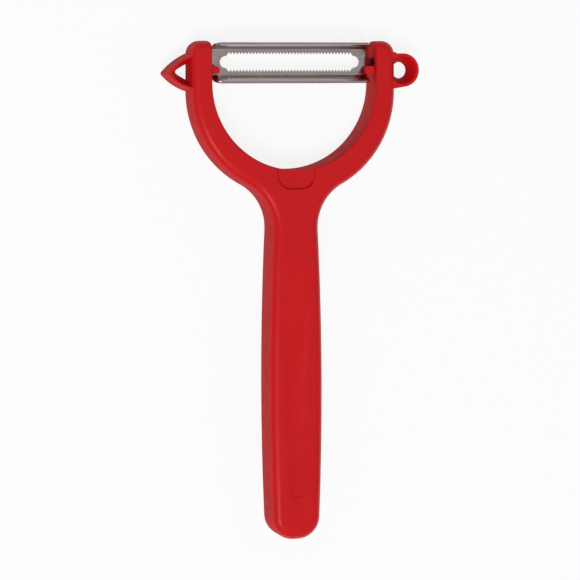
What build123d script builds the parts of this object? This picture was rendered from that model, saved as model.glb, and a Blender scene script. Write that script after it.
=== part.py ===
from build123d import *
import os
from math import acos, atan2, cos, hypot, radians, sin, tan

os.makedirs("parts", exist_ok=True)

# A Y-shaped vegetable peeler: a one-piece moulded handle with a fork, and a stamped steel
# blade that swivels between the fork's arms. Millimetres. It lies on its back: X is across,
# Y runs from the heel to the head, Z runs up out of the front face. The origin is on the
# flat back, on the handle's axis, halfway along the peeler.

# Handle seen from the front
overall_length = 151.0
arm_gap = 51.4
arm_width = 6.4
arm_above_pivot = 6.3
gap_arc_below_pivot = 6.6
fork_arc_below_pivot = 8.5
top_corner_radius = 3.9
inner_corner_radius = 1.5
neck_radius = 15.0
root_width = 13.1
root_overlap = 3.0
grip_width = 16.9
grip_from_end = 50.0
heel_width = 14.8
heel_from_end = 0.9
heel_radius = 6.9

# Handle seen from the side
grip_thickness = 12.8
arm_tip_thickness = 9.4
shoulder_from_end = 94.0
shoulder_blend_radius = 400.0
outer_edge_radius = 3.0
inner_edge_bevel = 0.35

# Thumb rest under the fork, and the bare label panel low on the grip
thumb_rest_width = 12.0
thumb_rest_length = 5.9
thumb_rest_depth = 0.7
thumb_rest_corner_radius = 4.5
thumb_rest_side_angle = 35.0
panel_width = 5.7
panel_length = 43.5
panel_from_end = 13.2
panel_depth = 0.25

# Pointed eye gouge on the left arm, all heights from the pivot
gouge_thickness = 8.3
gouge_reach = 8.5
gouge_tip_drop = 3.4
gouge_tip_radius = 0.7
gouge_upper_rise = 3.7
gouge_lower_drop = 9.4
gouge_root_depth = 2.8
gouge_flank_inset = 1.3
gouge_rim_width = 0.7
gouge_upper_bulge = 1.1
gouge_lower_bulge = 1.3
gouge_hole_reach = 4.25
gouge_hole_tip_drop = 2.9
gouge_hole_upper_rise = 0.2
gouge_hole_lower_drop = 6.2
gouge_hole_bulge = 0.3
gouge_hole_root_depth = 1.8

# Round eye gouge on the right arm
ring_radius = 5.05
ring_thickness = 8.6
ring_from_arm = 2.4
ring_drop = 2.5
ring_hole_radius = 2.5
ring_land = 1.6
ring_rim_width = 0.8
ring_root_depth = 2.5
ring_root_drop = 8.4
ring_root_radius = 0.4

# Blade, bent from one strip
blade_thickness = 0.7
blade_end_gap = 1.2
blade_rest_shift = 0.25
blade_rest_turn = 3.5
web_half_width = 4.1
flange_height = 4.65
flange_lean = 16.0
bend_radius = 0.5
flange_corner_radius = 2.4
tongue_width = 2.4
tongue_engagement = 1.6
tongue_root_radius = 0.5

# Slot with two rows of teeth
slot_end_margin = 2.55
slot_end_radius = 1.78
slot_shoulder_run = 1.05
tooth_zone_margin = 2.95
tooth_pitch = 1.0
tooth_root_half_width = 3.04
tooth_tip_half_width = 2.26
tooth_edge_thickness = 0.15
ground_width = 1.25

# Pivot bores, their lead-in ramps and the stop lugs on the arms' inner walls
pivot_clearance = 0.06
bore_end_gap = 0.5
ramp_width = 2.7
ramp_depth_at_bore = 0.6
ramp_below_rim = 0.8
lug_length = 2.8
lug_height = 2.3
lug_below_pivot = 1.3
lug_projection = 2.3
lug_corner_radius = 0.8
lug_blade_gap = 0.1

# How far cutters run past what they cut, and how edges are told apart by direction
overrun = 2.0
level_limit = 0.001
upright_limit = 0.99

# Places that follow from the sizes
top_y = overall_length / 2
end_y = -overall_length / 2
pivot_y = top_y - arm_above_pivot
mid_z = grip_thickness / 2
arm_inner_x = arm_gap / 2
arm_outer_x = arm_inner_x + arm_width
gap_arc_y = pivot_y - gap_arc_below_pivot
gap_bottom_y = gap_arc_y - arm_inner_x
fork_arc_y = pivot_y - fork_arc_below_pivot
fork_bottom_y = fork_arc_y - arm_outer_x
shoulder_y = end_y + shoulder_from_end
taper_slope = (grip_thickness - arm_tip_thickness) / 2 / (top_y - shoulder_y)


def half_thickness_at(y):
    """Half of the handle's thickness on the tapered stretch, at a height y."""
    return grip_thickness / 2 - taper_slope * (y - shoulder_y)


def grip_outline():
    """The grip's bellied sides and its rounded heel."""
    heel_y = end_y + heel_from_end
    belly_y = end_y + grip_from_end
    root_y = fork_bottom_y + root_overlap
    left_side = ThreePointArc(
        (-root_width / 2, root_y), (-grip_width / 2, belly_y), (-heel_width / 2, heel_y)
    )
    heel = ThreePointArc((-heel_width / 2, heel_y), (0, end_y), (heel_width / 2, heel_y))
    right_side = ThreePointArc(
        (heel_width / 2, heel_y), (grip_width / 2, belly_y), (root_width / 2, root_y)
    )
    root = Line((root_width / 2, root_y), (-root_width / 2, root_y))
    return make_face([left_side, heel, right_side, root])


def round_bottomed(radius, arc_y, high_y):
    """A U shape: a half circle whose tangent sides run straight up to high_y."""
    left = Line((-radius, high_y), (-radius, arc_y))
    bottom = ThreePointArc((-radius, arc_y), (0, arc_y - radius), (radius, arc_y))
    right = Line((radius, arc_y), (radius, high_y))
    top = Line((radius, high_y), (-radius, high_y))
    return make_face([left, bottom, right, top])


def fork_outline():
    """The fork without its gap."""
    return round_bottomed(arm_outer_x, fork_arc_y, top_y)


def gap_outline():
    """The fork's gap, open at the top."""
    return round_bottomed(arm_inner_x, gap_arc_y, top_y + overrun)


def handle_outline():
    """Grip and fork in one outline, with the neck, heel and top corners rounded."""
    outline = grip_outline() + fork_outline()
    outline = fillet(outline.vertices().sort_by(Axis.Y)[2:4], neck_radius)
    outline = fillet(outline.vertices().sort_by(Axis.Y)[0:2], heel_radius)
    return fillet(outline.vertices().sort_by(Axis.Y)[-2:], top_corner_radius)


def side_profile():
    """The handle seen from the side: even along the grip, thinner towards the arm tops."""
    far_y = top_y + overrun
    grip_half = grip_thickness / 2
    far_half = half_thickness_at(far_y)
    low_y = end_y - overrun
    profile = make_face(
        Polyline(
            (low_y, -grip_half), (shoulder_y, -grip_half), (far_y, -far_half),
            (far_y, far_half), (shoulder_y, grip_half), (low_y, grip_half), close=True,
        )
    )
    shoulders = [v for v in profile.vertices() if abs(v.X - shoulder_y) < overrun]
    profile = fillet(shoulders, shoulder_blend_radius)
    side = Plane.YZ * Pos(0, mid_z) * profile
    return extrude(side, amount=arm_outer_x + overrun, both=True)


def runs_upright(edge):
    """Whether an edge runs from the back to the front."""
    return abs((edge % 0.5).Z) > upright_limit


def rim_edges(solid):
    """The edges round the front and the back, which the plan's walls share."""
    walls = [f for f in solid.faces() if abs(f.normal_at().Z) < level_limit]
    return [e for wall in walls for e in wall.edges() if not runs_upright(e)]


def gap_edges(solid):
    """The closed edge chains round the gap's wall, on both arms."""
    arc_centre = Vector(0, gap_arc_y, mid_z)
    walls = [f for f in solid.faces() if abs(f.normal_at().Z) < level_limit]
    walls = [f for f in walls if f.normal_at().dot(arc_centre - f.center()) > 0]
    walls = [f for f in walls if abs(f.center().X) < arm_inner_x + inner_edge_bevel]
    chains = []
    for wall in walls:
        for edge in wall.edges():
            beside_arc = abs(edge.center().Y - gap_arc_y) < inner_edge_bevel
            if not (beside_arc and runs_upright(edge)):
                chains.append(edge)
    return chains


def corner_cutter(side):
    """What the rounded inner corner of an arm's top leaves out; side is -1 or 1."""
    reach = inner_corner_radius + overrun
    shift = (inner_corner_radius - overrun) / 2
    square = Pos(side * (arm_inner_x + shift), top_y - shift) * Rectangle(reach, reach)
    centre = Pos(side * (arm_inner_x + inner_corner_radius), top_y - inner_corner_radius)
    corner = square - centre * Circle(inner_corner_radius)
    return extrude(Pos(0, 0, mid_z) * corner, amount=grip_thickness / 2, both=True)


def handle_body():
    """Fork and grip, with soft outer edges and a fine bevel round the gap."""
    slab = extrude(Pos(0, 0, mid_z) * handle_outline(), amount=grip_thickness / 2, both=True)
    body = slab & side_profile()
    body = fillet(rim_edges(body), outer_edge_radius)
    body -= extrude(Pos(0, 0, mid_z) * gap_outline(), amount=grip_thickness / 2 + overrun, both=True)
    body = chamfer(gap_edges(body), inner_edge_bevel)
    return body


def pointed_outline(tip, upper_root, lower_root, upper_bulge, lower_bulge, tip_radius):
    """Two bulging sides that meet in a rounded tip, closed by a straight root."""
    upper = SagittaArc(tip, upper_root, upper_bulge)
    root = Line(upper_root, lower_root)
    lower = SagittaArc(lower_root, tip, lower_bulge)
    face = make_face([upper, root, lower])
    return fillet(face.vertices().sort_by(Axis.X)[0], tip_radius)


def pointed_gouge():
    """The pointed loop: a steep outer flank, a thin rim and a wide sloping inner wall."""
    half = gouge_thickness / 2
    root_x = -arm_outer_x + gouge_root_depth
    tip_x = -arm_outer_x - gouge_reach
    hole_root_x = -arm_outer_x + gouge_hole_root_depth
    widest = pointed_outline(
        (tip_x, pivot_y - gouge_tip_drop),
        (root_x, pivot_y + gouge_upper_rise),
        (root_x, pivot_y - gouge_lower_drop),
        gouge_upper_bulge, gouge_lower_bulge, gouge_tip_radius,
    )
    rim = pointed_outline(
        (tip_x + gouge_flank_inset, pivot_y - gouge_tip_drop),
        (root_x, pivot_y + gouge_upper_rise - gouge_flank_inset),
        (root_x, pivot_y - gouge_lower_drop + gouge_flank_inset),
        gouge_upper_bulge, gouge_lower_bulge, gouge_tip_radius,
    )
    inset = gouge_flank_inset + gouge_rim_width
    mouth = pointed_outline(
        (tip_x + inset + gouge_rim_width, pivot_y - gouge_tip_drop),
        (hole_root_x, pivot_y + gouge_upper_rise - inset),
        (hole_root_x, pivot_y - gouge_lower_drop + inset),
        gouge_upper_bulge, gouge_lower_bulge, gouge_tip_radius,
    )
    hole = pointed_outline(
        (-arm_outer_x - gouge_hole_reach, pivot_y - gouge_hole_tip_drop),
        (hole_root_x, pivot_y + gouge_hole_upper_rise),
        (hole_root_x, pivot_y - gouge_hole_lower_drop),
        gouge_hole_bulge, gouge_hole_bulge, gouge_tip_radius,
    )
    loop = loft([widest, Pos(0, 0, half) * rim], ruled=True)
    loop -= loft([hole, Pos(0, 0, half) * mouth], ruled=True)
    loop += mirror(loop, Plane.XY)
    return Pos(0, 0, mid_z) * loop


def ring_outline():
    """The ring's outline round its own centre: two tangent sides, the upper one rounded into the arm."""
    root_x = -ring_from_arm - ring_root_depth
    corner_y = ring_radius + ring_root_radius
    corner_x = ring_root_radius - ring_from_arm
    root_low = (root_x, ring_drop - ring_root_drop)
    reach = hypot(*root_low)
    touch_angle = atan2(root_low[1], root_low[0]) + acos(ring_radius / reach)
    touch = (ring_radius * cos(touch_angle), ring_radius * sin(touch_angle))
    into_arm = Line((root_x, corner_y), (-ring_from_arm, corner_y))
    corner = RadiusArc((-ring_from_arm, corner_y), (corner_x, ring_radius), -ring_root_radius)
    upper = Line((corner_x, ring_radius), (0, ring_radius))
    round_side = ThreePointArc((0, ring_radius), (ring_radius, 0), touch)
    lower = Line(touch, root_low)
    root = Line(root_low, (root_x, corner_y))
    return make_face([into_arm, corner, upper, round_side, lower, root])


def round_gouge():
    """The ring, joined to the arm by tangent sides, countersunk from both faces."""
    half = ring_thickness / 2
    mouth_radius = ring_radius - ring_rim_width
    ring = extrude(ring_outline(), amount=half, both=True)
    bore_profile = make_face(
        Polyline(
            (0, -half), (mouth_radius, -half), (ring_hole_radius, -ring_land / 2),
            (ring_hole_radius, ring_land / 2), (mouth_radius, half), (0, half), close=True,
        )
    )
    bore = revolve(Plane.XZ * bore_profile, Axis.Z)
    ring -= bore
    return Pos(arm_outer_x + ring_from_arm, pivot_y - ring_drop, mid_z) * ring


def pivot_bore(side):
    """The blind hole in an arm's inner wall; side is -1 or 1."""
    depth = tongue_engagement + bore_end_gap
    bore = Cylinder(tongue_width / 2 + pivot_clearance, depth + overrun, rotation=(0, 90, 0))
    return Pos(side * (arm_inner_x + (depth - overrun) / 2), pivot_y, mid_z) * bore


def lead_in_ramp(side):
    """The groove in the wall that deepens from under the front rim down to the bore."""
    wall_x = side * arm_inner_x
    inside_x = side * (arm_inner_x - overrun)
    rim_z = mid_z + half_thickness_at(pivot_y) - ramp_below_rim
    slope = ramp_depth_at_bore / (rim_z - mid_z)
    profile = make_face(
        Polyline(
            (inside_x, mid_z), (wall_x + side * ramp_depth_at_bore, mid_z),
            (inside_x, rim_z + overrun / slope), close=True,
        )
    )
    ramp = extrude(Plane.XZ * profile, amount=ramp_width / 2, both=True)
    return Pos(0, pivot_y, 0) * ramp


def stop_lug(side):
    """The lug on an arm's inner wall that the blade's web rests against."""
    length = lug_length + overrun
    low_z = mid_z + blade_thickness / 2 + lug_blade_gap
    centre_x = side * (arm_inner_x - lug_length + length / 2)
    centre_y = pivot_y - lug_below_pivot - lug_height / 2
    plan = Rectangle(length, lug_height)
    free_end = plan.vertices().sort_by(Axis.X)
    free_end = free_end[0:2] if side > 0 else free_end[2:4]
    plan = fillet(free_end, lug_corner_radius)
    return Pos(centre_x, centre_y, low_z) * extrude(plan, amount=lug_projection)


def thumb_rest():
    """The shallow pocket on the front, open to the gap above it."""
    bottom_y = gap_bottom_y - thumb_rest_length
    high_y = gap_bottom_y + overrun
    plan = Pos(0, (bottom_y + high_y) / 2) * Rectangle(thumb_rest_width, high_y - bottom_y)
    plan = fillet(plan.vertices().sort_by(Axis.Y)[0:2], thumb_rest_corner_radius)
    middle_y = (bottom_y + gap_bottom_y) / 2
    surface_z = mid_z + half_thickness_at(middle_y)
    depth = thumb_rest_depth
    spread = depth * tan(radians(thumb_rest_side_angle))
    floor = offset(plan, amount=-spread)
    mouth = Pos(0, 0, surface_z) * plan
    pocket = loft([Pos(0, 0, surface_z - depth) * floor, mouth], ruled=True)
    return pocket + extrude(mouth, amount=overrun)


def label_panel():
    """The shallow bare recess low on the front of the grip."""
    centre_y = end_y + panel_from_end + panel_length / 2
    plan = Pos(0, centre_y) * SlotOverall(panel_length, panel_width, rotation=90)
    return extrude(Pos(0, 0, grip_thickness - panel_depth) * plan, amount=panel_depth + overrun)


def make_handle():
    """The whole one-piece handle."""
    handle = handle_body() + pointed_gouge() + round_gouge()
    for side in (-1, 1):
        handle -= corner_cutter(side)
        handle -= lead_in_ramp(side)
        handle -= pivot_bore(side)
        handle += stop_lug(side)
    handle -= thumb_rest()
    handle -= label_panel()
    return handle


def channel_section():
    """The blade's bent section in Y and Z, with the web centred on the pivot axis."""
    lean = radians(flange_lean)
    half = blade_thickness / 2
    rise = flange_height
    inner_tip_y = web_half_width + rise * tan(lean)
    skin_y = blade_thickness * cos(lean)
    skin_z = blade_thickness * sin(lean)
    outer_foot_y = web_half_width + blade_thickness * (1 - sin(lean)) / cos(lean)
    inner = FilletPolyline(
        (-inner_tip_y, half + rise), (-web_half_width, half),
        (web_half_width, half), (inner_tip_y, half + rise), radius=bend_radius,
    )
    outer = FilletPolyline(
        (inner_tip_y + skin_y, half + rise - skin_z), (outer_foot_y, -half),
        (-outer_foot_y, -half), (-inner_tip_y - skin_y, half + rise - skin_z),
        radius=bend_radius + blade_thickness,
    )
    right_edge = Line(inner @ 1, outer @ 0)
    left_edge = Line(outer @ 1, inner @ 0)
    return make_face([inner, right_edge, outer, left_edge])


def tooth_row(half_length, count, side):
    """The points of one long edge of the slot, from left to right; side is -1 or 1."""
    pitch = 2 * half_length / count
    end_x = half_length + slot_shoulder_run
    points = [(-end_x, side * slot_end_radius), (-half_length, side * tooth_root_half_width)]
    for tooth in range(count):
        left = -half_length + tooth * pitch
        points.append((left + pitch / 2, side * tooth_tip_half_width))
        points.append((left + pitch, side * tooth_root_half_width))
    points.append((end_x, side * slot_end_radius))
    return points


def slot_outline(slot_half, zone_half):
    """The slot: a toothed stretch that narrows to a round end on either side."""
    count = round(2 * zone_half / tooth_pitch)
    upper = tooth_row(zone_half, count, 1)
    lower = tooth_row(zone_half, count, -1)
    toothed = make_face(Polyline(upper + lower[::-1], close=True))
    ends = SlotOverall(2 * slot_half, 2 * slot_end_radius)
    return toothed + ends


def ground_away(zone_half):
    """What grinding takes off behind the two rows of teeth, to leave their edges thin."""
    half = blade_thickness / 2
    slope = (blade_thickness - tooth_edge_thickness) / ground_width
    reach = tooth_tip_half_width + ground_width
    low_reach = reach + overrun / slope
    section = make_face(
        Polyline(
            (-low_reach, -half - overrun), (0, reach * slope - half), (low_reach, -half - overrun),
            close=True,
        )
    )
    return extrude(Plane.YZ * section, amount=zone_half, both=True)


def tongue_plate(half_length):
    """The web's middle with a tongue on each end, whose long edges are rounded to the pivot."""
    tongue_half = arm_inner_x + tongue_engagement
    plan = Rectangle(2 * half_length, 2 * (web_half_width - bend_radius))
    plan += Rectangle(2 * tongue_half, tongue_width)
    roots = [
        v for v in plan.vertices()
        if abs(abs(v.X) - half_length) < pivot_clearance and abs(v.Y) < web_half_width / 2
    ]
    plan = fillet(roots, tongue_root_radius)
    plate = extrude(plan, amount=blade_thickness / 2, both=True)
    round_from = half_length + tongue_root_radius
    round_length = tongue_half + overrun - round_from
    waste = Box(round_length, tongue_width + overrun, tongue_width + overrun)
    waste -= Cylinder(tongue_width / 2, round_length, rotation=(0, 90, 0))
    for side in (-1, 1):
        plate -= Pos(side * (round_from + round_length / 2), 0, 0) * waste
    return plate


def make_blade():
    """The blade as it rests, a little to the left in its play and turned off the stop lugs."""
    half_length = arm_inner_x - blade_end_gap
    channel = extrude(Plane.YZ * channel_section(), amount=half_length, both=True)
    tips = channel.edges().filter_by(GeomType.LINE).filter_by(lambda e: e.center().Z > flange_height / 2)
    corners = tips.filter_by(lambda e: e.length < blade_thickness + pivot_clearance)
    channel = fillet(corners, flange_corner_radius)
    blade = channel + tongue_plate(half_length)
    slot_half = half_length - slot_end_margin
    zone_half = slot_half - tooth_zone_margin
    blade -= extrude(slot_outline(slot_half, zone_half), amount=blade_thickness, both=True)
    blade -= ground_away(zone_half)
    return Pos(-blade_rest_shift, pivot_y, mid_z) * Rot(blade_rest_turn, 0, 0) * blade


nodes = {
    "handle": make_handle(),
    "blade": make_blade(),
}

for name, shape in nodes.items():
    shape.label = name
    export_step(shape, f"parts/{name}.step")
    print(name, len(shape.solids()), round(shape.volume, 1), shape.bounding_box())
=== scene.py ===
# %% [markdown]
# A Y-shaped vegetable peeler, laid on its back on a white table.
# The imported model gives two solids in real size: a moulded plastic handle and a bent steel blade.
# This lesson keeps their sizes and joints, rounds the edges that a mould or a press leaves soft,
# gives both their finishes, and sets the camera and lights.

import math

import bpy
from mathutils import Matrix, Vector


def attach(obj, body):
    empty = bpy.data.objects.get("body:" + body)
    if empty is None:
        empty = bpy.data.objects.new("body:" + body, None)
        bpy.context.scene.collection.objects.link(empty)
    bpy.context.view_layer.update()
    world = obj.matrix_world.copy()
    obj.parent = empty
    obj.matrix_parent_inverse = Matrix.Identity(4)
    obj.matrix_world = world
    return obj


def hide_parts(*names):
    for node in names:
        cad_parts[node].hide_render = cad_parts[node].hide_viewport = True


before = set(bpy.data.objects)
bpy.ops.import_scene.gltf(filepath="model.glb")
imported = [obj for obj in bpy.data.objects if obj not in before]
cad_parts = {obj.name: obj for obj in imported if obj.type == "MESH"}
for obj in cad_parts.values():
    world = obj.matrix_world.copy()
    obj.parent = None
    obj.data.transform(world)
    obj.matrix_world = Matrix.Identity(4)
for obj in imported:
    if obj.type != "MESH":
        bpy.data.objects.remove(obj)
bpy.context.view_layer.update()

# %% [markdown]
# Blender works in metres, and the sizes of a hand tool are easier to read in millimetres.
# Each size is written once, times this unit.

# %% Unit
MM = 0.001

# %% [markdown]
# The camera stands 0.75 m from the peeler and looks almost straight down. It leans 17 degrees to
# the peeler's left, so the left walls show, and 5 degrees towards the head. A camera could be
# turned by hand or tied to a target. Here two angles, a small roll and a distance give its place,
# because so few numbers could be fitted to points that were measured on the photograph. The lens
# is given in pixels for the same reason. Depth of field stays off: the photograph is sharp.

# %% Where the camera stands
CAMERA_AIM = Vector((-0.35 * MM, 0.30 * MM, 6.4 * MM))
CAMERA_DISTANCE = 750 * MM
CAMERA_TURN = math.radians(17.16)
CAMERA_RISE = math.radians(4.88)
CAMERA_ROLL = math.radians(-0.15)
TOWARDS_HEAD = Vector((0, 1, 0))


def camera_matrix():
    away = Vector((
        -math.sin(CAMERA_TURN) * math.cos(CAMERA_RISE),
        math.sin(CAMERA_RISE),
        math.cos(CAMERA_TURN) * math.cos(CAMERA_RISE),
    ))
    right = (-away).cross(TOWARDS_HEAD).normalized()
    up = right.cross(-away)
    rolled_right = right * math.cos(CAMERA_ROLL) + up * math.sin(CAMERA_ROLL)
    rolled_up = up * math.cos(CAMERA_ROLL) - right * math.sin(CAMERA_ROLL)
    turn = Matrix((rolled_right, rolled_up, away)).transposed().to_4x4()
    return Matrix.Translation(CAMERA_AIM + away * CAMERA_DISTANCE) @ turn


print("camera at", [round(v, 3) for v in camera_matrix().translation])

# %% Camera and lens
IMAGE_SIDE_PIXELS = 580
FOCAL_PIXELS = 2472.0
SENSOR_WIDTH = 36.0
NEAREST_SEEN = 10 * MM
FARTHEST_SEEN = 10.0


def place_camera():
    data = bpy.data.cameras.new("photo_camera")
    data.sensor_fit = "HORIZONTAL"
    data.sensor_width = SENSOR_WIDTH
    data.lens = FOCAL_PIXELS * SENSOR_WIDTH / IMAGE_SIDE_PIXELS
    data.clip_start = NEAREST_SEEN
    data.clip_end = FARTHEST_SEEN
    camera = bpy.data.objects.new("photo_camera", data)
    bpy.context.scene.collection.objects.link(camera)
    camera.matrix_world = camera_matrix()
    bpy.context.scene.camera = camera
    return camera


camera = place_camera()
print("lens", round(camera.data.lens, 1), "mm on a", SENSOR_WIDTH, "mm sensor")

# %% [markdown]
# A finish is a small graph of nodes that ends in one shader. It could be wired by hand in the
# shader editor. In code, a few helpers keep it readable: one starts a material with a Principled
# shader, and one joins an output to an input.

# %% Start a material
def new_material(name):
    material = bpy.data.materials.new(name)
    material.use_nodes = True
    nodes = material.node_tree.nodes
    nodes.clear()
    output = nodes.new("ShaderNodeOutputMaterial")
    shader = nodes.new("ShaderNodeBsdfPrincipled")
    join(material, shader.outputs["BSDF"], output.inputs["Surface"])
    return material, shader


def join(material, source, target):
    material.node_tree.links.new(source, target)


print("ready: new_material, join")


# %% [markdown]
# Every pattern here is a noise, read at Object coordinates, so that it keeps its real size and
# stays put when the piece moves. A picture could give the pattern too, but noise has no seams and
# any size. A Mapping node can squeeze the coordinates along one axis, which stretches the noise
# into lines. Each further octave adds a finer noise to the first. Noise seldom leaves the
# middle of its range, so the part of it that counts is spread over the values that are wanted.

# %% Patterns
NOISE_LOW = 0.3
NOISE_HIGH = 0.7
UNSTRETCHED = (1.0, 1.0, 1.0)
TWO_OCTAVES = 2.0
THREE_OCTAVES = 3.0


def coordinates(material, squeeze=UNSTRETCHED):
    nodes = material.node_tree.nodes
    place = nodes.new("ShaderNodeTexCoord")
    mapping = nodes.new("ShaderNodeMapping")
    mapping.inputs["Scale"].default_value = squeeze
    join(material, place.outputs["Object"], mapping.inputs["Vector"])
    return mapping.outputs["Vector"]


def noise(material, vector, size, octaves):
    node = material.node_tree.nodes.new("ShaderNodeTexNoise")
    node.inputs["Scale"].default_value = 1.0 / size
    node.inputs["Detail"].default_value = octaves
    join(material, vector, node.inputs["Vector"])
    return node.outputs["Fac"]


def spread(material, value, low, high, from_low=NOISE_LOW, from_high=NOISE_HIGH):
    node = material.node_tree.nodes.new("ShaderNodeMapRange")
    node.inputs["From Min"].default_value = from_low
    node.inputs["From Max"].default_value = from_high
    node.inputs["To Min"].default_value = low
    node.inputs["To Max"].default_value = high
    join(material, value, node.inputs["Value"])
    return node.outputs["Result"]


print("a noise with lumps of 1 mm has the scale", round(1.0 / MM))


# %% [markdown]
# Three more helpers put patterns to use: a sum of two values, a bump that tilts the surface
# without changing its shape, and a blend of two colours. A Mix node has sockets of the same name
# for numbers, vectors and colours, so those for colours are found by their place in the list.

# %% Sums, bumps and blends
MIX_SHARE = 0
MIX_FIRST_COLOUR = 6
MIX_SECOND_COLOUR = 7
MIX_RESULT_COLOUR = 2
OPAQUE = 1.0


def add(material, first, second):
    node = material.node_tree.nodes.new("ShaderNodeMath")
    node.operation = "ADD"
    join(material, first, node.inputs[0])
    join(material, second, node.inputs[1])
    return node.outputs["Value"]


def bump(material, height, depth, normal=None):
    node = material.node_tree.nodes.new("ShaderNodeBump")
    node.inputs["Strength"].default_value = 1.0
    node.inputs["Distance"].default_value = depth
    join(material, height, node.inputs["Height"])
    if normal is not None:
        join(material, normal, node.inputs["Normal"])
    return node.outputs["Normal"]


def blend_colours(material, share, first, second):
    node = material.node_tree.nodes.new("ShaderNodeMix")
    node.data_type = "RGBA"
    node.inputs[MIX_FIRST_COLOUR].default_value = (*first, OPAQUE)
    node.inputs[MIX_SECOND_COLOUR].default_value = (*second, OPAQUE)
    join(material, share, node.inputs[MIX_SHARE])
    return node.outputs[MIX_RESULT_COLOUR]


print("ready: add, bump, blend_colours")


# %% [markdown]
# The handle is glossy red plastic from a polished mould. One colour and one roughness would make
# it look like a toy in a drawing, because a real moulding is never even: its tint drifts a
# little, it is wavy where thick walls shrank, it has a very fine grain, and hands and the
# dishwasher have dulled it in patches. Four noises of different sizes make these. The upright
# walls scrape along the mould as the handle comes out, so they are duller than the polished
# faces. The object's own normal tells the two apart: up or down on a face, level on a wall.

# %% Which way a surface faces
def facing(material, axis):
    nodes = material.node_tree.nodes
    place = nodes.new("ShaderNodeTexCoord")
    split = nodes.new("ShaderNodeSeparateXYZ")
    join(material, place.outputs["Normal"], split.inputs["Vector"])
    node = nodes.new("ShaderNodeMath")
    node.operation = "ABSOLUTE"
    join(material, split.outputs[axis], node.inputs[0])
    return node.outputs["Value"]


print("ready: facing")


# %% Red moulded plastic
PLASTIC_RED = (0.560, 0.0040, 0.0066)
PLASTIC_RED_DEEP = (0.530, 0.0033, 0.0056)
TINT_CLOUD_SIZE = 9 * MM
WORN_PATCH_SIZE = 3.1 * MM
FACE_ROUGHNESS_LOW = 0.26
FACE_ROUGHNESS_HIGH = 0.34
WALL_ROUGHNESS_ADDED = 0.42
WALL_FACING = 0.1
FACE_FACING = 0.6
WAVE_SIZE = 6 * MM
WAVE_DEPTH = 0.012 * MM
GRAIN_SIZE = 0.3 * MM
GRAIN_DEPTH = 0.0008 * MM
PLASTIC_IOR = 1.46
PLASTIC_SHINE = 0.38


def red_plastic():
    material, shader = new_material("red_moulded_plastic")
    place = coordinates(material)
    cloudy = noise(material, place, TINT_CLOUD_SIZE, THREE_OCTAVES)
    deep_share = spread(material, cloudy, 0.0, 1.0)
    tint = blend_colours(material, deep_share, PLASTIC_RED, PLASTIC_RED_DEEP)
    join(material, tint, shader.inputs["Base Color"])
    worn = noise(material, place, WORN_PATCH_SIZE, THREE_OCTAVES)
    gloss = spread(material, worn, FACE_ROUGHNESS_LOW, FACE_ROUGHNESS_HIGH)
    level = facing(material, "Z")
    wall_dulling = spread(material, level, WALL_ROUGHNESS_ADDED, 0.0, WALL_FACING, FACE_FACING)
    join(material, add(material, gloss, wall_dulling), shader.inputs["Roughness"])
    waves = noise(material, place, WAVE_SIZE, TWO_OCTAVES)
    grain = noise(material, place, GRAIN_SIZE, TWO_OCTAVES)
    wavy = bump(material, waves, WAVE_DEPTH)
    join(material, bump(material, grain, GRAIN_DEPTH, wavy), shader.inputs["Normal"])
    shader.inputs["IOR"].default_value = PLASTIC_IOR
    shader.inputs["Specular IOR Level"].default_value = PLASTIC_SHINE
    return material


plastic = red_plastic()
print("material", plastic.name, "nodes", len(plastic.node_tree.nodes))

# %% [markdown]
# The blade is stamped from rolled stainless strip, which keeps fine rolling lines along its
# length. They could be modelled as grooves, but they are far too fine to be worth a mesh. Noise
# that is stretched along X draws them instead: broad ones as lighter and darker streaks, fine
# ones in the gloss and as faint grooves. Round clouds dull it where water has dried.

# %% Rolled steel
# Both steel colours lean to pink, though stainless steel is a neutral grey. The pink is partly a
# painted reflection of the red handle.
STEEL_GREY_WITH_PAINTED_RED = (0.67, 0.585, 0.57)
STEEL_DARK_WITH_PAINTED_RED = (0.50, 0.430, 0.42)
ALONG_THE_STRIP = (0.04, 1.0, 1.0)
STREAK_SIZE = 0.5 * MM
ROLLING_LINE_SIZE = 0.12 * MM
ROLLING_LINE_DEPTH = 0.0022 * MM
STEEL_ROUGHNESS_LOW = 0.12
STEEL_ROUGHNESS_HIGH = 0.22
WATER_MARK_SIZE = 4 * MM
WATER_MARK_ROUGHNESS_ADDED = 0.08


def rolled_steel():
    material, shader = new_material("rolled_steel")
    lines = coordinates(material, ALONG_THE_STRIP)
    streaks = noise(material, lines, STREAK_SIZE, TWO_OCTAVES)
    dark_share = spread(material, streaks, 0.0, 1.0)
    tint = blend_colours(material, dark_share, STEEL_GREY_WITH_PAINTED_RED, STEEL_DARK_WITH_PAINTED_RED)
    join(material, tint, shader.inputs["Base Color"])
    fine = noise(material, lines, ROLLING_LINE_SIZE, THREE_OCTAVES)
    gloss = spread(material, fine, STEEL_ROUGHNESS_LOW, STEEL_ROUGHNESS_HIGH)
    marks = noise(material, coordinates(material), WATER_MARK_SIZE, THREE_OCTAVES)
    dulling = spread(material, marks, 0.0, WATER_MARK_ROUGHNESS_ADDED)
    join(material, add(material, gloss, dulling), shader.inputs["Roughness"])
    join(material, bump(material, fine, ROLLING_LINE_DEPTH), shader.inputs["Normal"])
    shader.inputs["Metallic"].default_value = 1.0
    return material


steel = rolled_steel()
print("material", steel.name, "nodes", len(steel.node_tree.nodes))

# %% [markdown]
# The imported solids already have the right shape, but they are loose triangles. A copy of each
# mesh is merged at its shared corners, and the triangles of a flat face are dissolved into one
# face, so that no edge crosses a flat face. The solid itself is never touched.

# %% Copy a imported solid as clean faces
MERGE_DISTANCE = 0.0005 * MM
FLAT_ANGLE = math.radians(0.4)


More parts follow.
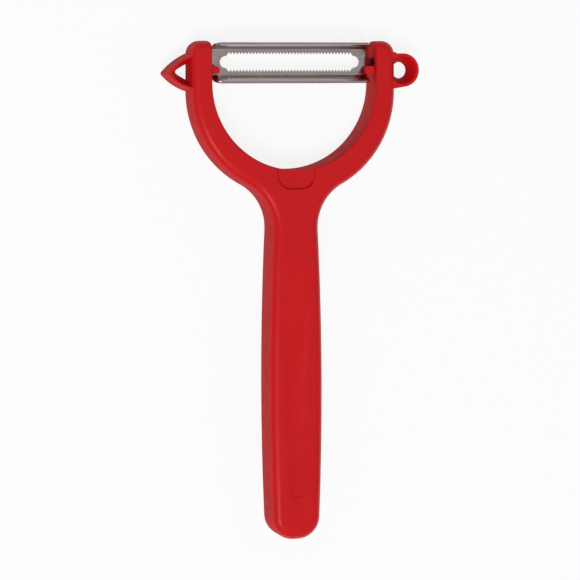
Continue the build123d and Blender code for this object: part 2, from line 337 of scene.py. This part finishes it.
def clean_copy(node, name):
    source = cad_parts[node]
    mesh = source.data.copy()
    mesh.materials.clear()
    piece = bpy.data.objects.new(name, mesh)
    bpy.context.scene.collection.objects.link(piece)
    bpy.ops.object.select_all(action="DESELECT")
    piece.select_set(True)
    bpy.context.view_layer.objects.active = piece
    bpy.ops.object.mode_set(mode="EDIT")
    bpy.ops.mesh.select_all(action="SELECT")
    bpy.ops.mesh.customdata_custom_splitnormals_clear()
    bpy.ops.mesh.remove_doubles(threshold=MERGE_DISTANCE)
    bpy.ops.mesh.dissolve_limited(angle_limit=FLAT_ANGLE)
    bpy.ops.object.mode_set(mode="OBJECT")
    return piece


print("triangles to clean", {node: len(made.data.polygons) for node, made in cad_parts.items()})


# %% [markdown]
# No real edge is perfectly sharp: a mould rounds a plastic edge by a fifth of a millimetre, and
# a press rounds a steel one by less. The thin bright line on such an edge is what makes a
# picture of it look real. The edges could be filleted in the solids, but hundreds of small
# fillets are slow there, and a Bevel modifier finds each sharp edge by its angle. The wide
# curves of the shapes have small angles between their facets, so they aren't bevelled, and
# smooth shading makes them look round.

# %% Soften the edges
SHARP_EDGE_ANGLE = math.radians(34)
ROUND_SHADING_ANGLE = math.radians(30)
EDGE_STEPS = 2


def soften_edges(piece, edge_radius):
    modifier = piece.modifiers.new("soft_edges", "BEVEL")
    modifier.width = edge_radius
    modifier.segments = EDGE_STEPS
    modifier.limit_method = "ANGLE"
    modifier.angle_limit = SHARP_EDGE_ANGLE
    bpy.ops.object.modifier_apply(modifier=modifier.name)
    bpy.ops.object.shade_smooth_by_angle(angle=ROUND_SHADING_ANGLE)


print("edges past", round(math.degrees(SHARP_EDGE_ANGLE)), "degrees are rounded")


# %% [markdown]
# The finished copy stands for the solid, and it rides on the same body, so the blade still
# swings about its tongues in the handle's bores.

# %% Handle and blade
HANDLE_EDGE_RADIUS = 0.18 * MM
BLADE_EDGE_RADIUS = 0.04 * MM


def dress(node, name, body, material, edge_radius):
    piece = clean_copy(node, name)
    piece.data.materials.append(material)
    soften_edges(piece, edge_radius)
    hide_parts(node)
    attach(piece, body)
    print(name, "faces", len(piece.data.polygons), "vertices", len(piece.data.vertices))


dress("handle", "moulded_handle", "handle", plastic, HANDLE_EDGE_RADIUS)
dress("blade", "steel_blade", "blade", steel, BLADE_EDGE_RADIUS)

# %% [markdown]
# The table is a plain white sheet. A white surface under soft light comes out pale grey, and
# more light would bleach the peeler. So most of what the camera sees of the sheet is a white of
# its own, and so is a fifth of the sheet's mirror image in steel or plastic. This white lights
# nothing else. The rest is an ordinary matt surface, which takes the peeler's soft shadow.

# %% Table
TABLE_SIDE = 3.0
TABLE_PAINT = (0.85, 0.85, 0.85, OPAQUE)
PURE_WHITE = (1.0, 1.0, 1.0, OPAQUE)
WHITE_SHARE_SEEN = 0.86
WHITE_SHARE_MIRRORED = 0.2


def table_material():
    material = bpy.data.materials.new("white_table")
    material.use_nodes = True
    nodes = material.node_tree.nodes
    nodes.clear()
    output = nodes.new("ShaderNodeOutputMaterial")
    matt = nodes.new("ShaderNodeBsdfDiffuse")
    matt.inputs["Color"].default_value = TABLE_PAINT
    own_white = nodes.new("ShaderNodeEmission")
    own_white.inputs["Color"].default_value = PURE_WHITE
    own_white.inputs["Strength"].default_value = 1.0
    ray = nodes.new("ShaderNodeLightPath").outputs
    mirrored = add(material, ray["Is Glossy Ray"], ray["Is Transmission Ray"])
    share_seen = spread(material, ray["Is Camera Ray"], 0.0, WHITE_SHARE_SEEN, 0.0, 1.0)
    share_mirrored = spread(material, mirrored, 0.0, WHITE_SHARE_MIRRORED, 0.0, 1.0)
    mix = nodes.new("ShaderNodeMixShader")
    share_socket, matt_socket, white_socket = mix.inputs
    join(material, add(material, share_seen, share_mirrored), share_socket)
    join(material, matt.outputs["BSDF"], matt_socket)
    join(material, own_white.outputs["Emission"], white_socket)
    join(material, mix.outputs["Shader"], output.inputs["Surface"])
    return material


bpy.ops.object.select_all(action="DESELECT")
bpy.ops.mesh.primitive_plane_add(size=TABLE_SIDE, location=(0, 0, 0))
table = bpy.context.object
table.name = "table"
table.data.materials.append(table_material())
print("table", TABLE_SIDE, "m wide")

# %% [markdown]
# The light is that of a small studio. Its white walls and ceiling send back a dim light from all
# round, more from overhead than from the sides, and over a third of all the light is theirs. The
# world stands for them: its strength rises with the height of the direction. A world has a graph
# of nodes too, so the helpers serve here as well. Where the camera looks past the table's edge,
# the room shows as plain white.

# %% Room
ROOM_AT_SIDES = 0.24
ROOM_OVERHEAD = 0.46


def soft_room():
    world = bpy.data.worlds.new("soft_room")
    world.use_nodes = True
    nodes = world.node_tree.nodes
    place = nodes.new("ShaderNodeTexCoord")
    split = nodes.new("ShaderNodeSeparateXYZ")
    join(world, place.outputs["Generated"], split.inputs["Vector"])
    strength = spread(world, split.outputs["Z"], ROOM_AT_SIDES, ROOM_OVERHEAD, 0.0, 1.0)
    path = nodes.new("ShaderNodeLightPath")
    brighter = nodes.new("ShaderNodeMath")
    brighter.operation = "MAXIMUM"
    join(world, strength, brighter.inputs[0])
    join(world, path.outputs["Is Camera Ray"], brighter.inputs[1])
    sky = nodes["Background"]
    sky.inputs["Color"].default_value = PURE_WHITE
    join(world, brighter.outputs["Value"], sky.inputs["Strength"])
    bpy.context.scene.world = world


soft_room()
print("room", ROOM_AT_SIDES, "at the sides,", ROOM_OVERHEAD, "overhead")

# %% [markdown]
# A wide diffuser, high up and a little to the lower left, gives most of the rest, so the walls
# that face down the grip are lighter than those that face the head. In a studio it would leave a
# pale patch in the gloss of the front. Here it is hidden from mirrored rays, and it stands well
# away from where the front would mirror it. One small soft box above the lower left is left in
# the gloss: it draws the thin bright lines on the rounded edges that face it.

# %% Diffuser and soft box
DIFFUSER_PLACE = Vector((-0.60, -0.76, 2.35))
DIFFUSER_SIDE = 1.0
DIFFUSER_POWER = 38.0
BOX_PLACE = Vector((-0.50, -0.45, 1.02))
BOX_SIDE = 0.24
BOX_POWER = 1.4


def lamp(name, place, side, power):
    bpy.ops.object.light_add(type="AREA", location=place)
    made = bpy.context.object
    made.name = name
    made.data.shape = "SQUARE"
    made.data.size = side
    made.data.energy = power
    made.rotation_euler = (-place).to_track_quat("-Z", "Y").to_euler()
    print(name, "distance", round(place.length, 2), "m, side", side, "m, power", power, "W")
    return made


diffuser = lamp("diffuser", DIFFUSER_PLACE, DIFFUSER_SIDE, DIFFUSER_POWER)
diffuser.visible_glossy = False
lamp("soft_box", BOX_PLACE, BOX_SIDE, BOX_POWER)

# %% [markdown]
# The Standard view shows a colour about as it is written. Other views soften strong colours,
# and this red would come out paler than the real one.

# %% View
bpy.context.scene.view_settings.view_transform = "Standard"
print("view", bpy.context.scene.view_settings.view_transform)

# %% [markdown]
# On an outer edge a bevel only takes material away, so the dressed peeler stays within the box of
# the imported one.

print("scene set")
